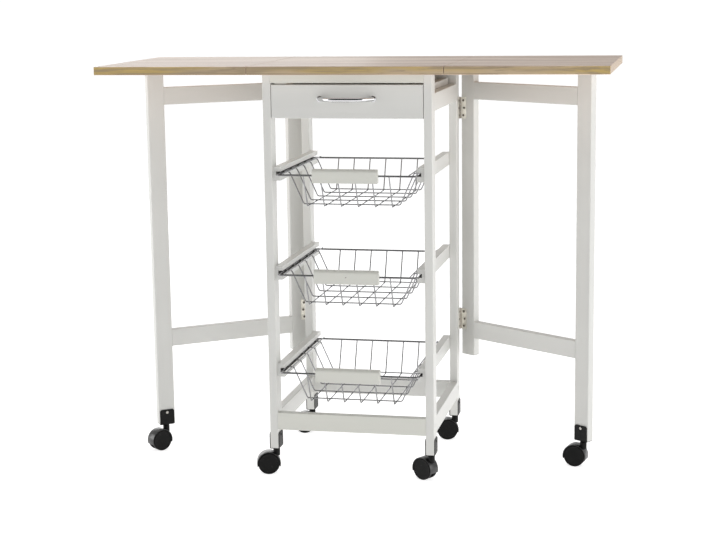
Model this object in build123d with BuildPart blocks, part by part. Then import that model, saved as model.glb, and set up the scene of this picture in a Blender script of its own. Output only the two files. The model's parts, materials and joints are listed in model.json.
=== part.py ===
from build123d import *
import os
from math import atan, cos, degrees, pi, radians, sin, tan

# Kitchen trolley with a drop leaf on each side, swinging gates that carry the leaves,
# one drawer, three wire baskets and six twin wheel casters. Millimetres, +X to the right,
# +Y to the back, +Z up. The origin is on the floor, below the middle of the outer box.

# Worktop
table_length = 920.0
table_depth = 365.0
table_height = 750.0
top_thickness = 15.0
centre_top_length = 351.0
seam = 1.0
edge_ease = 0.8

# Frame
frame_length = 305.0
frame_depth = 310.0
front_overhang = 19.5
post_width = 15.0
post_depth = 30.0
post_bottom = 51.0
rail_height = 32.0
rail_thickness = 15.0
bottom_rail_z = 86.5
upper_side_rail_drop = 66.5
top_rear_rail_height = 50.0

# Drawer
drawer_side_gap = 1.0
drawer_front_drop = 18.0
drawer_front_height = 59.5
drawer_box_drop = 23.0
drawer_box_height = 49.0
drawer_box_length = 260.0
drawer_wall = 12.0
drawer_bottom_thickness = 4.0
drawer_bottom_inset = 5.0
drawer_bottom_groove = 4.0
drawer_runner_height = 10.0
drawer_runner_thickness = 7.5
drawer_runner_setback = 2.0
runner_play = 0.5

# Drawer handle
handle_reach = 27.0
handle_pitch = 96.0
handle_bar = 8.0
handle_collar = 11.0
handle_collar_thickness = 2.5
handle_bend = 20.0
handle_bend_facets = 3
handle_facets = 12
handle_drop = 43.0

# Baskets and the grooved strips that carry them
lowest_basket_rise = 79.0
highest_basket_drop = 99.5
strip_thickness = 14.0
strip_height = 24.5
strip_setback = 5.0
strip_length = 285.0
groove_depth = 8.0
groove_height = 6.5
rim_seat_play = 0.3
rim_side_play = 1.9
basket_front_reach = 14.0
basket_length = 290.0
rim_wire = 4.0
rim_corner = 9.0
thin_wire = 2.4
weld = 0.5
basket_drop = 57.0
shoulder_inset = 13.6
basket_floor_width = 177.0
wall_lean = 15.0
rim_facets = 8
rim_corner_facets = 2
wire_facets = 6
long_wires = 6
long_wire_pitch = 31.0
cross_wires = 5
cross_wire_pitch = 53.75
cross_wire_shift = 9.5
board_length = 117.5
board_height = 24.5
board_thickness = 12.0
board_nose = 5.5
board_groove_play = 0.05

# Swinging gates
gate_length = 315.6
gate_thickness = 15.0
gate_stile_width = 32.0
gate_top_play = 0.5
gate_stile_bottom = 169.5
gate_upper_rail_drop = 65.0
gate_lower_rail_z = 204.0
gate_rail_height = 33.0
right_gate_angle = 34.4
left_gate_angle = 37.2

# Gate hinges
hinge_leaf = 1.2
hinge_leaf_width = 12.5
hinge_height = 41.0
knuckle_radius = 2.2
knuckle_offset = 1.6
hinge_gap = 0.4
stile_play = 0.2
hinge_leaf_play = 0.2
knuckle_facets = 10
hinge_pin_radius = 1.2
hinge_bore_facets = 6
pin_play = 0.05
upper_hinge_drop = 82.0
right_lower_hinge_z = 240.0
left_lower_hinge_z = 249.0

# Flap hinges below the seams
flap_hinge_length = 50.0
flap_leaf_width = 17.0
flap_knuckle_radius = 2.4
flap_hinge_spread = 150.0
flap_drop = 2.6
flap_leaf_play = 0.3

# Casters and their saddle brackets
saddle_thickness = 1.6
saddle_height = 28.5
saddle_width = 28.5
saddle_corner = 3.0
saddle_fold = 1.2
saddle_hole_play = 0.6
wheel_radius = 20.0
wheel_width = 7.2
wheel_bevel = 1.2
wheel_facets = 24
wheel_well_play = 0.6
wheel_side_play = 0.4
hood_thickness = 1.4
hood_skirt = 6.0
web_thickness = 6.4
trail = 15.0
neck_radius = 6.3
neck_top_radius = 4.6
neck_taper = 3.5
stem_radius = 4.0
neck_facets = 10
stem_length = 34.0
stem_play = 0.06
stem_end_gap = 2.0
swivel_gap = 0.3
axle_radius = 2.5
axle_play = 0.05
front_left_heading = 197.0
front_right_heading = 150.0
rear_left_heading = 185.0
rear_right_heading = 192.0
left_gate_heading = 230.0
right_gate_heading = 168.0

# Places that follow from the sizes above
top_z = table_height - top_thickness
upper_side_rail_z = top_z - upper_side_rail_drop
drawer_front_z = top_z - drawer_front_drop - drawer_front_height
drawer_box_z = top_z - drawer_box_drop - drawer_box_height
handle_z = top_z - handle_drop
gate_upper_rail_z = top_z - gate_upper_rail_drop
upper_hinge_z = top_z - upper_hinge_drop
front_proud = max(handle_reach, basket_front_reach + board_thickness) - front_overhang
table_front = -(table_depth - front_proud) / 2
table_y = table_front + table_depth / 2
frame_front = table_front + front_overhang
frame_back = frame_front + frame_depth
outer_x = frame_length / 2
inner_x = outer_x - post_width
rear_rail_y = frame_back - post_depth
stem_x = outer_x - post_width / 2
front_stem_y = frame_front + post_depth / 2
rear_stem_y = frame_back - post_depth / 2
seam_x = centre_top_length / 2 + seam / 2
pin_x = outer_x + knuckle_offset
pin_y = frame_back + knuckle_offset
stile_start = knuckle_radius + stile_play
drawer_x = inner_x - drawer_side_gap
drawer_face_back = frame_front + rail_thickness
drawer_runner_z = upper_side_rail_z + rail_height / 2
rim_x = inner_x - strip_thickness + groove_depth - rim_side_play - rim_wire / 2
rim_front_y = frame_front - basket_front_reach
rim_back_y = rim_front_y + basket_length
lowest_basket_z = bottom_rail_z + rail_height + lowest_basket_rise
highest_basket_z = drawer_front_z - highest_basket_drop
basket_levels = (lowest_basket_z, (lowest_basket_z + highest_basket_z) / 2, highest_basket_z)
gate_turn = {1: right_gate_angle, -1: left_gate_angle}
lower_hinge_z = {1: right_lower_hinge_z, -1: left_lower_hinge_z}
side_name = {1: "right", -1: "left"}

pieces = {}


def batten(x0, x1, y0, y1, z0, z1, along):
    """Planed batten between six faces, its four long edges eased."""
    with BuildPart() as piece:
        with BuildSketch(Plane.XY.offset(z0)):
            with Locations(((x0 + x1) / 2, (y0 + y1) / 2)):
                Rectangle(x1 - x0, y1 - y0)
        extrude(amount=z1 - z0)
        chamfer(piece.edges().filter_by(along), edge_ease)
    return piece


def panel(x0, x1, y0, y1, z0, z1, ease):
    """Flat panel between six faces, eased all round."""
    with BuildPart() as piece:
        with BuildSketch(Plane.XY.offset(z0)):
            with Locations(((x0 + x1) / 2, (y0 + y1) / 2)):
                Rectangle(x1 - x0, y1 - y0)
        extrude(amount=z1 - z0)
        chamfer(piece.edges(), ease)
    return piece


def gate_plane(side, z=0.0):
    """Level plane at a gate's pin, x along the gate and y square to it."""
    turn = radians(gate_turn[side])
    return Plane(origin=(side * pin_x, pin_y, z), x_dir=(side * cos(turn), -sin(turn), 0),
                 z_dir=(0, 0, 1))


def gate_batten(side, start, end, z0, z1, long_way):
    """Batten of a gate between two distances from its pin."""
    plane = gate_plane(side, z0)
    middle = side * (knuckle_offset + gate_thickness / 2)
    run = Axis.Z if long_way == "up" else Axis((0, 0, 0), plane.x_dir)
    with BuildPart() as piece:
        with BuildSketch(plane):
            with Locations(((start + end) / 2, middle)):
                Rectangle(end - start, gate_thickness)
        extrude(amount=z1 - z0)
        chamfer(piece.edges().filter_by(run), edge_ease)
    return piece


def gate_stem(side):
    """Plane at the foot of a gate's leg, its x square to the gate."""
    plane = gate_plane(side, post_bottom)
    reach = stile_start + gate_length - gate_stile_width / 2
    square = side * (knuckle_offset + gate_thickness / 2)
    return Plane(origin=plane.from_local_coords((reach, square, 0)), x_dir=plane.y_dir,
                 z_dir=(0, 0, 1))


def bored(leg, foot):
    """The same leg with a blind bore for the caster stem in its lower end."""
    with BuildPart() as piece:
        add(leg.part)
        with Locations(Location(foot) * Location((0, 0, 0), (180, 0, 0))):
            Hole(stem_radius + stem_play, depth=stem_length + stem_end_gap)
    return piece


def saddle(foot):
    """Folded U bracket below a leg, its plates on the faces square to the foot's x."""
    across = foot.x_dir
    tall = saddle_height + saddle_thickness
    profile = Plane(origin=foot.origin, x_dir=across, z_dir=across.cross(Vector(0, 0, 1)))
    with BuildPart() as piece:
        with BuildSketch(profile) as section:
            with Locations((0, tall / 2 - saddle_thickness)):
                Rectangle(post_width + 2 * saddle_thickness, tall)
            chamfer(section.vertices().group_by(Axis.Y)[0], saddle_fold)
            with Locations((0, tall / 2)):
                Rectangle(post_width, tall, mode=Mode.SUBTRACT)
        extrude(amount=saddle_width / 2, both=True)
        tips = piece.edges().filter_by(Axis(foot.origin, across)).group_by(Axis.Z)[-1]
        chamfer(tips, saddle_corner)
        with BuildSketch(Plane(origin=foot.origin, x_dir=foot.x_dir, z_dir=(0, 0, -1))):
            RegularPolygon(stem_radius + saddle_hole_play, neck_facets, major_radius=False)
        extrude(amount=saddle_thickness, mode=Mode.SUBTRACT)
    return piece


def gate_hinge_half(line, z0, hand, on_gate):
    """Half of a butt hinge, its pin line at the plane's origin and its leaf along x."""
    pitch = (hinge_height + hinge_gap) / 3
    rows = (1,) if on_gate else (0, 2)
    flat = hand * (knuckle_offset - hinge_leaf / 2)
    start = stile_start + hinge_leaf_play
    with BuildPart() as piece:
        with BuildSketch(line.offset(z0)):
            with Locations((start + hinge_leaf_width / 2, flat)):
                Rectangle(hinge_leaf_width, hinge_leaf)
        extrude(amount=hinge_height)
        for row in rows:
            with BuildSketch(line.offset(z0 + row * pitch)):
                RegularPolygon(knuckle_radius, knuckle_facets)
                with Locations((start / 2, flat)):
                    Rectangle(start, hinge_leaf)
            extrude(amount=pitch - hinge_gap)
        with BuildSketch(line.offset(z0)):
            if on_gate:
                RegularPolygon(hinge_pin_radius, hinge_bore_facets)
            else:
                RegularPolygon(hinge_pin_radius + pin_play, hinge_bore_facets, major_radius=False)
        extrude(amount=hinge_height, mode=Mode.ADD if on_gate else Mode.SUBTRACT)
    return piece


def flap_hinge_half(side, y, on_flap):
    """Half of a flap hinge: a leaf on the underside and knuckles below the seam."""
    pitch = (flap_hinge_length + hinge_gap) / 3
    rows = (1,) if on_flap else (0, 2)
    outward = side if on_flap else -side
    front = y - flap_hinge_length / 2
    line = Plane(origin=(side * seam_x, front, top_z - flap_drop), x_dir=(1, 0, 0), z_dir=(0, 1, 0))
    flat = flap_drop - hinge_leaf / 2
    start = flap_knuckle_radius + flap_leaf_play
    with BuildPart() as piece:
        with BuildSketch(line):
            with Locations((outward * (start + flap_leaf_width / 2), -flat)):
                Rectangle(flap_leaf_width, hinge_leaf)
        extrude(amount=flap_hinge_length)
        for row in rows:
            with BuildSketch(line.offset(row * pitch)):
                RegularPolygon(flap_knuckle_radius, knuckle_facets)
                with Locations((outward * start / 2, -flat)):
                    Rectangle(start, hinge_leaf)
            extrude(amount=pitch - hinge_gap)
    return piece


def upright(x, y, heading):
    """Upright plane through a stem, x along the wheels' heading and y up, from the floor."""
    turn = radians(heading)
    along = Vector(cos(turn), sin(turn), 0)
    return Plane(origin=(x, y, 0), x_dir=along, z_dir=along.cross(Vector(0, 0, 1)))


def caster_housing(x, y, heading):
    """Hood with a middle web, a tapered neck and the stem that turns in the leg."""
    plane = upright(x, y, heading)
    well = wheel_radius + wheel_well_play
    hood = well + hood_thickness
    half = web_thickness / 2 + wheel_side_play + wheel_width
    neck_top = post_bottom - saddle_thickness - swivel_gap
    with BuildPart() as piece:
        with BuildSketch(plane):
            with Locations((trail, wheel_radius)):
                RegularPolygon(hood, wheel_facets)
            with Locations((trail, wheel_radius - hood_skirt - hood)):
                Rectangle(3 * hood, 2 * hood, mode=Mode.SUBTRACT)
        extrude(amount=half, both=True)
        with BuildSketch(Plane(origin=(x, y, wheel_radius))):
            RegularPolygon(neck_radius, neck_facets)
        extrude(amount=neck_top - neck_taper - wheel_radius)
        for out in (1, -1):
            with BuildSketch(plane.offset(out * web_thickness / 2)):
                with Locations((trail, wheel_radius)):
                    RegularPolygon(well, wheel_facets)
            extrude(amount=out * (half + neck_radius), mode=Mode.SUBTRACT)
        with BuildSketch(Plane(origin=(x, y, neck_top - neck_taper))):
            RegularPolygon(neck_radius, neck_facets)
        lean = (neck_radius - neck_top_radius) * cos(pi / neck_facets) / neck_taper
        extrude(amount=neck_taper, taper=degrees(atan(lean)))
        with BuildSketch(Plane(origin=(x, y, neck_top))):
            RegularPolygon(stem_radius, neck_facets)
        extrude(amount=stem_length + post_bottom - neck_top)
        with BuildSketch(plane):
            with Locations((trail, wheel_radius)):
                RegularPolygon(axle_radius + axle_play, neck_facets, major_radius=False)
        extrude(amount=web_thickness, both=True, mode=Mode.SUBTRACT)
    return piece


def caster_wheels(x, y, heading):
    """Two wheels on one axle, turning together in the web of the housing."""
    plane = upright(x, y, heading)
    inner = web_thickness / 2 + wheel_side_play
    with BuildPart() as piece:
        for out in (1, -1):
            with BuildSketch(plane.offset(out * inner)):
                with Locations((trail, wheel_radius)):
                    RegularPolygon(wheel_radius, wheel_facets)
            extrude(amount=out * wheel_width)
            outer_face = piece.faces().filter_by(plane).sort_by(Axis((x, y, 0), plane.z_dir * out))[-1]
            chamfer(outer_face.edges(), wheel_bevel)
        with BuildSketch(plane):
            with Locations((trail, wheel_radius)):
                Circle(axle_radius)
        extrude(amount=inner, both=True)
    return piece


def bent_path(points, radius, facets):
    """The same path with each bend rounded by a few short straight runs on its arc."""
    path = [Vector(points[0])]
    for before, corner, after in zip(points, points[1:], points[2:]):
        corner = Vector(corner)
        back = (Vector(before) - corner).normalized()
        onward = (Vector(after) - corner).normalized()
        half = radians(back.get_angle(onward)) / 2
        middle = corner + (back + onward).normalized() * (radius / sin(half))
        first = corner + back * (radius / tan(half)) - middle
        last = corner + onward * (radius / tan(half)) - middle
        turn = pi - 2 * half
        for step in range(facets + 1):
            swung = turn * step / facets
            spoke = first * (sin(turn - swung) / sin(turn)) + last * (sin(swung) / sin(turn))
            path.append(middle + spoke)
    return path + [Vector(points[-1])]


def rod(points, radius, facets):
    """Straight runs of wire or bar with mitred bends, a few flat faces round it."""
    with BuildPart() as piece:
        with BuildLine() as path:
            Polyline(*points)
        with BuildSketch(Plane(origin=path.line @ 0, z_dir=path.line % 0)):
            RegularPolygon(radius, facets)
        sweep(transition=Transition.RIGHT)
    return piece.part


def basket(rim_z):
    """Welded wire basket that hangs by its rim in two grooves."""
    shoulder_x = rim_x - shoulder_inset
    floor_x = basket_floor_width / 2
    across_z = rim_z + (rim_wire - thin_wire) / 2
    side_z = across_z + thin_wire - weld
    cross_z = rim_z - basket_drop
    floor_z = cross_z - thin_wire + weld
    hang = (rim_wire - thin_wire) / 2 + weld
    middle_y = (rim_front_y + rim_back_y) / 2 + cross_wire_shift
    rim = [(0, rim_front_y, rim_z), (rim_x, rim_front_y, rim_z), (rim_x, rim_back_y, rim_z),
           (-rim_x, rim_back_y, rim_z), (-rim_x, rim_front_y, rim_z), (0, rim_front_y, rim_z)]
    with BuildPart() as piece:
        add(rod(bent_path(rim, rim_corner, rim_corner_facets), rim_wire / 2, rim_facets))
        for x in (shoulder_x, -shoulder_x):
            ends = [(x, rim_front_y - rim_wire / 2, side_z), (x, rim_back_y + rim_wire / 2, side_z)]
            add(rod(ends, thin_wire / 2, wire_facets))
        for row in range(cross_wires):
            y = middle_y + (row - (cross_wires - 1) / 2) * cross_wire_pitch
            reach = rim_x - weld
            points = [(-reach, y, across_z), (-shoulder_x, y, across_z), (-floor_x, y, cross_z),
                      (floor_x, y, cross_z), (shoulder_x, y, across_z), (reach, y, across_z)]
            add(rod(points, thin_wire / 2, wire_facets))
        for column in range(long_wires):
            x = (column - (long_wires - 1) / 2) * long_wire_pitch
            front = rim_front_y + hang
            back = rim_back_y - hang
            points = [(x, front, rim_z - hang / 2), (x, front + wall_lean, floor_z),
                      (x, back - wall_lean, floor_z), (x, back, rim_z - hang / 2)]
            add(rod(points, thin_wire / 2, wire_facets))
    return piece


def handle_board(rim_z):
    """Grip board on the front of a basket's rim, with a rounded upper edge."""
    front = rim_front_y - board_thickness
    with BuildPart() as piece:
        with BuildSketch(Plane.YZ.offset(-board_length / 2)):
            with Locations(((front + rim_front_y) / 2, rim_z)):
                Rectangle(board_thickness, board_height)
            with Locations((rim_front_y, rim_z)):
                RegularPolygon(rim_wire / 2 + board_groove_play, rim_facets, mode=Mode.SUBTRACT)
        extrude(amount=board_length)
        nose = piece.edges().filter_by(Axis.X).group_by(Axis.Z)[-1].sort_by(Axis.Y)[0]
        fillet(nose, board_nose)
    return piece


def basket_strips(side):
    """The three grooved strips on the inner faces of one side's legs."""
    front = frame_front + strip_setback
    mouth = inner_x - strip_thickness
    groove_rise = groove_height / 2 - rim_wire / 2 - rim_seat_play
    with BuildPart() as piece:
        for level in basket_levels:
            with BuildSketch(Plane.XZ.offset(-front)):
                with Locations((side * (inner_x - strip_thickness / 2), level)):
                    Rectangle(strip_thickness, strip_height)
                with Locations((side * (mouth + groove_depth / 2), level + groove_rise)):
                    Rectangle(groove_depth, groove_height, mode=Mode.SUBTRACT)
            extrude(amount=-strip_length)
    return piece


# Frame: four legs
for side in (1, -1):
    for end, y0 in (("front", frame_front), ("rear", rear_rail_y)):
        x0, x1 = sorted((side * inner_x, side * outer_x))
        leg = batten(x0, x1, y0, y0 + post_depth, post_bottom, top_z, Axis.Z)
        foot = Plane(origin=(side * stem_x, y0 + post_depth / 2, post_bottom), x_dir=(1, 0, 0),
                     z_dir=(0, 0, 1))
        pieces[f"{end}_{side_name[side]}_leg"] = bored(leg, foot)

# Frame: rails between the legs
pieces["front_bottom_rail"] = batten(
    -inner_x, inner_x, frame_front, frame_front + rail_thickness,
    bottom_rail_z, bottom_rail_z + rail_height, Axis.X)
pieces["rear_bottom_rail"] = batten(
    -inner_x, inner_x, rear_rail_y, rear_rail_y + rail_thickness,
    bottom_rail_z, bottom_rail_z + rail_height, Axis.X)
pieces["front_top_rail"] = batten(
    -inner_x, inner_x, frame_front, frame_front + post_depth,
    top_z - rail_thickness, top_z, Axis.X)
pieces["rear_top_rail"] = batten(
    -inner_x, inner_x, rear_rail_y, rear_rail_y + rail_thickness,
    top_z - top_rear_rail_height, top_z, Axis.X)
for side in (1, -1):
    x0, x1 = sorted((side * inner_x, side * outer_x))
    for name, z0 in (("bottom", bottom_rail_z), ("upper", upper_side_rail_z)):
        pieces[f"{side_name[side]}_{name}_side_rail"] = batten(
            x0, x1, frame_front + post_depth, rear_rail_y, z0, z0 + rail_height, Axis.Y)
    pieces[f"{side_name[side]}_basket_strips"] = basket_strips(side)

# Strips that the drawer slides on
with BuildPart() as drawer_runners:
    for side in (1, -1):
        start = drawer_face_back + drawer_runner_setback
        with BuildSketch(Plane.XZ.offset(-start)):
            with Locations((side * (inner_x - drawer_runner_thickness / 2), drawer_runner_z)):
                Rectangle(drawer_runner_thickness, drawer_runner_height)
        extrude(amount=-(rear_rail_y - start))
pieces["drawer_runners"] = drawer_runners

# Worktop: the fixed middle and a flap on each side
half_top = centre_top_length / 2
pieces["centre_top"] = panel(-half_top, half_top, table_front, table_front + table_depth,
                             top_z, table_height, edge_ease)
for side in (1, -1):
    x0, x1 = sorted((side * (half_top + seam), side * table_length / 2))
    pieces[f"{side_name[side]}_flap"] = panel(x0, x1, table_front, table_front + table_depth,
                                             top_z, table_height, edge_ease)

# Drawer
box_top = drawer_box_z + drawer_box_height
floor_z = drawer_box_z + drawer_bottom_inset
drawer_back_y = drawer_face_back + drawer_box_length

with BuildPart() as drawer_front:
    with BuildSketch(Plane.XY.offset(drawer_front_z)):
        with Locations((0, frame_front + rail_thickness / 2)):
            Rectangle(2 * drawer_x, rail_thickness)
    extrude(amount=drawer_front_height)
    chamfer(drawer_front.faces().sort_by(Axis.Y)[0].edges(), edge_ease)
    with BuildSketch(Plane.XZ.offset(-drawer_face_back)):
        with Locations((0, floor_z + drawer_bottom_thickness / 2)):
            Rectangle(2 * (drawer_x - drawer_wall + drawer_bottom_groove), drawer_bottom_thickness)
    extrude(amount=drawer_bottom_groove, mode=Mode.SUBTRACT)
pieces["drawer_front"] = drawer_front

with BuildPart() as drawer_sides:
    for side in (1, -1):
        with BuildSketch(Plane.XZ.offset(-drawer_face_back)):
            with Locations((side * (drawer_x - drawer_wall / 2), drawer_box_z + drawer_box_height / 2)):
                Rectangle(drawer_wall, drawer_box_height)
            reach = drawer_runner_thickness + runner_play - drawer_side_gap
            with Locations((side * (drawer_x - reach / 2), drawer_runner_z)):
                Rectangle(reach, drawer_runner_height + 2 * runner_play, mode=Mode.SUBTRACT)
            with Locations((side * (drawer_x - drawer_wall + drawer_bottom_groove / 2),
                            floor_z + drawer_bottom_thickness / 2)):
                Rectangle(drawer_bottom_groove, drawer_bottom_thickness, mode=Mode.SUBTRACT)
        extrude(amount=-drawer_box_length)
pieces["drawer_sides"] = drawer_sides

with BuildPart() as drawer_back:
    with BuildSketch(Plane.XZ.offset(-drawer_back_y)):
        with Locations((0, (floor_z + drawer_bottom_thickness + box_top) / 2)):
            Rectangle(2 * (drawer_x - drawer_wall), box_top - floor_z - drawer_bottom_thickness)
    extrude(amount=drawer_wall)
pieces["drawer_back"] = drawer_back

with BuildPart() as drawer_bottom:
    with BuildSketch(Plane.XY.offset(floor_z)):
        y0 = drawer_face_back - drawer_bottom_groove
        with Locations((0, (y0 + drawer_back_y) / 2)):
            Rectangle(2 * (drawer_x - drawer_wall + drawer_bottom_groove), drawer_back_y - y0)
    extrude(amount=drawer_bottom_thickness)
pieces["drawer_bottom"] = drawer_bottom

with BuildPart() as drawer_handle:
    bar_y = frame_front - handle_reach + handle_bar / 2
    bow = [(-handle_pitch / 2, frame_front, handle_z), (-handle_pitch / 2, bar_y, handle_z),
           (handle_pitch / 2, bar_y, handle_z), (handle_pitch / 2, frame_front, handle_z)]
    add(rod(bent_path(bow, handle_bend, handle_bend_facets), handle_bar / 2, handle_facets))
    with BuildSketch(Plane.XZ.offset(-frame_front)):
        with Locations((-handle_pitch / 2, handle_z), (handle_pitch / 2, handle_z)):
            RegularPolygon(handle_collar / 2, handle_facets)
    extrude(amount=handle_collar_thickness)
pieces["drawer_handle"] = drawer_handle

# Baskets
for name, level in zip(("lower", "middle", "upper"), basket_levels):
    pieces[f"{name}_basket"] = basket(level)
    pieces[f"{name}_basket_handle_board"] = handle_board(level)

# Gates
for side in (1, -1):
    hand = side_name[side]
    leg_start = stile_start + gate_length - gate_stile_width
    gate_top = top_z - gate_top_play
    pieces[f"{hand}_gate_stile"] = gate_batten(
        side, stile_start, stile_start + gate_stile_width, gate_stile_bottom, gate_top, "up")
    leg = gate_batten(side, leg_start, leg_start + gate_stile_width, post_bottom, gate_top, "up")
    pieces[f"{hand}_gate_leg"] = bored(leg, gate_stem(side))
    for name, z0 in (("upper", gate_upper_rail_z), ("lower", gate_lower_rail_z)):
        pieces[f"{hand}_gate_{name}_rail"] = gate_batten(
            side, stile_start + gate_stile_width, leg_start, z0, z0 + gate_rail_height, "level")

# Gate hinges: one half on the rear legs, the other on the gates
fixed_halves = []
for side in (1, -1):
    wall = Plane(origin=(side * pin_x, pin_y, 0), x_dir=(0, -1, 0), z_dir=(0, 0, 1))
    moving_halves = []
    for middle in (upper_hinge_z, lower_hinge_z[side]):
        z0 = middle - hinge_height / 2
        fixed_halves.append(gate_hinge_half(wall, z0, -side, False))
        moving_halves.append(gate_hinge_half(gate_plane(side), z0, side, True))
    with BuildPart() as gate_hinges:
        for half in moving_halves:
            add(half.part)
    pieces[f"{side_name[side]}_gate_hinge_halves"] = gate_hinges
with BuildPart() as leg_hinges:
    for half in fixed_halves:
        add(half.part)
pieces["leg_hinge_halves"] = leg_hinges

# Flap hinges
fixed_flap_halves = []
for side in (1, -1):
    moving_halves = []
    for y in (table_y - flap_hinge_spread / 2, table_y + flap_hinge_spread / 2):
        fixed_flap_halves.append(flap_hinge_half(side, y, False))
        moving_halves.append(flap_hinge_half(side, y, True))
    with BuildPart() as flap_hinges:
        for half in moving_halves:
            add(half.part)
    pieces[f"{side_name[side]}_flap_hinge_halves"] = flap_hinges
with BuildPart() as top_hinges:
    for half in fixed_flap_halves:
        add(half.part)
pieces["centre_top_hinge_halves"] = top_hinges

# Casters and saddles
leg_feet = {
    "front_left": (-stem_x, front_stem_y, front_left_heading),
    "front_right": (stem_x, front_stem_y, front_right_heading),
    "rear_left": (-stem_x, rear_stem_y, rear_left_heading),
    "rear_right": (stem_x, rear_stem_y, rear_right_heading),
}
feet = dict(leg_feet)
for side, heading in ((1, right_gate_heading), (-1, left_gate_heading)):
    foot = gate_stem(side)
    feet[f"{side_name[side]}_gate"] = (foot.origin.X, foot.origin.Y, heading)
    pieces[f"{side_name[side]}_gate_saddle"] = saddle(foot)
saddles = []
for x, y, heading in leg_feet.values():
    saddles.append(saddle(Plane(origin=(x, y, post_bottom), x_dir=(1, 0, 0), z_dir=(0, 0, 1))))
with BuildPart() as leg_saddles:
    for bracket in saddles:
        add(bracket.part)
pieces["leg_saddles"] = leg_saddles
for name, (x, y, heading) in feet.items():
    pieces[f"{name}_caster_housing"] = caster_housing(x, y, heading)
    pieces[f"{name}_caster_wheels"] = caster_wheels(x, y, heading)

# One file for each piece
os.makedirs("parts", exist_ok=True)
for name, piece in pieces.items():
    piece.part.label = name
    export_step(piece.part, f"parts/{name}.step")
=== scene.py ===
"""Looks of a drop-leaf kitchen trolley: oak worktop, white frame and gates, wire baskets, twin-wheel casters.

Every length is in metres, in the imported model's frame: +X to the right, +Y to the back, +Z up.
"""

import json
import logging
from dataclasses import dataclass
from enum import Enum
from functools import cache
from math import atan2, cos, radians, sin

import bpy
import numpy as np
from bpy.types import ID, Material, Node, NodeSocket, NodeTree, Object
from mathutils import Matrix, Vector


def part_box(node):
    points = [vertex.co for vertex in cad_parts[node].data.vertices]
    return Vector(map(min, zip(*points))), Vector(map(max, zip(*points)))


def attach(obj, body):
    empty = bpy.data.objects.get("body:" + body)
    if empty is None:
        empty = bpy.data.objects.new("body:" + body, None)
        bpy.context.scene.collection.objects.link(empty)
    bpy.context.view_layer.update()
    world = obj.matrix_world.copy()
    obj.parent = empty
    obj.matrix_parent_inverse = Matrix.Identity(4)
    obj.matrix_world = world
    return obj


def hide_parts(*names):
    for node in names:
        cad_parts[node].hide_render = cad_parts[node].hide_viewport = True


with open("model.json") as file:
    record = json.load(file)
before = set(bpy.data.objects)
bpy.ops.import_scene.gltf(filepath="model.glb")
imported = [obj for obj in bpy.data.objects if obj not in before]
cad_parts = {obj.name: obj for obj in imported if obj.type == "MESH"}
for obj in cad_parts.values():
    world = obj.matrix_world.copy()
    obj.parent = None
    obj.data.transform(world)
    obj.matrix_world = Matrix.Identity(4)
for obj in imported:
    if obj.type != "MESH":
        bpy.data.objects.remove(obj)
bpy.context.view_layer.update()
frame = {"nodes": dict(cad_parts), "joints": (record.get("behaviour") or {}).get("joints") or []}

LOG = logging.getLogger("kitchen_trolley")
Array = np.ndarray
Sockets = bpy.types.bpy_prop_collection
Triple = tuple[float, float, float]
ACROSS, DEEP, UP = np.eye(3)
MM = 0.001
# How deep the foot of a small fastener sits in what it stands on
SUNK = -0.2 * MM


class Side(Enum):
    """Side of the trolley, with the sign of X there."""

    LEFT = -1
    RIGHT = 1

    @property
    def word(self) -> str:
        """The side's name as the nodes spell it."""
        return self.name.lower()


class Level(Enum):
    """Place of a basket in the frame, as the nodes spell it."""

    LOWER = "lower"
    MIDDLE = "middle"
    UPPER = "upper"


# Surfaces worked out as whole arrays


@dataclass
class Skin:
    """One closed surface: points in metres, and arrays of faces that index them."""

    points: Array
    faces: list[Array]

    def outward(self) -> "Skin":
        """Turns the faces round if the volume they enclose comes out negative.

        The volume is a sixth of the sum of a . (b x c) over the fan triangles of every face.

        Returns:
            The same skin, its faces pointing outwards.
        """
        volume = 0.0
        middle = self.points.mean(axis=0)
        for block in self.faces:
            corners = self.points[block] - middle
            for k in range(1, block.shape[1] - 1):
                volume += np.einsum("ij,ij->", corners[:, 0], np.cross(corners[:, k], corners[:, k + 1]))
        if volume < 0:
            self.faces = [block[:, ::-1] for block in self.faces]
        return self


def unit(vectors: Array) -> Array:
    """Vectors divided by their lengths."""
    return vectors / np.linalg.norm(vectors, axis=-1, keepdims=True)


def ring(sides: int) -> Array:
    """Angles of evenly spaced points round a circle: 2 pi k / sides."""
    return np.arange(sides) * 2 * np.pi / sides


def square_to(axis: Array, steep: float = 0.9) -> tuple[Array, Array]:
    """Unit vectors square to an axis: its cross with UP, or with ACROSS if it is steep, and the third way."""
    u = unit(np.cross(axis, UP if abs(axis[2]) < steep else ACROSS))
    return u, np.cross(axis, u)


def spokes(u: Array, v: Array, angle: Array) -> Array:
    """Unit vectors cos a u + sin a v for each angle a."""
    angle = angle[..., None]
    return np.cos(angle) * u + np.sin(angle) * v


def wrapped(grid: Array, closed_rows: bool = False) -> Skin:
    """Skins a grid of points whose rows are closed rings.

    Face (i, j) joins points (i, j), (i, j + 1), (i + 1, j + 1) and (i + 1, j), the ring index taken round.

    Args:
        grid: Points, rows by columns by 3.
        closed_rows: True where the last ring joins the first; otherwise each end ring is closed by one face.

    Returns:
        The closed skin.
    """
    rows, columns = grid.shape[:2]
    i, j = np.meshgrid(np.arange(rows if closed_rows else rows - 1), np.arange(columns), indexing="ij")
    below, beside = (i + 1) % rows, (j + 1) % columns
    quads = i * columns + j, i * columns + beside, below * columns + beside, below * columns + j
    faces = [np.stack(quads, -1).reshape(-1, 4)]
    if not closed_rows:
        first = np.arange(columns)[::-1]
        faces += [first[None, :], (first[::-1] + (rows - 1) * columns)[None, :]]
    return Skin(grid.reshape(-1, 3), faces).outward()


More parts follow.
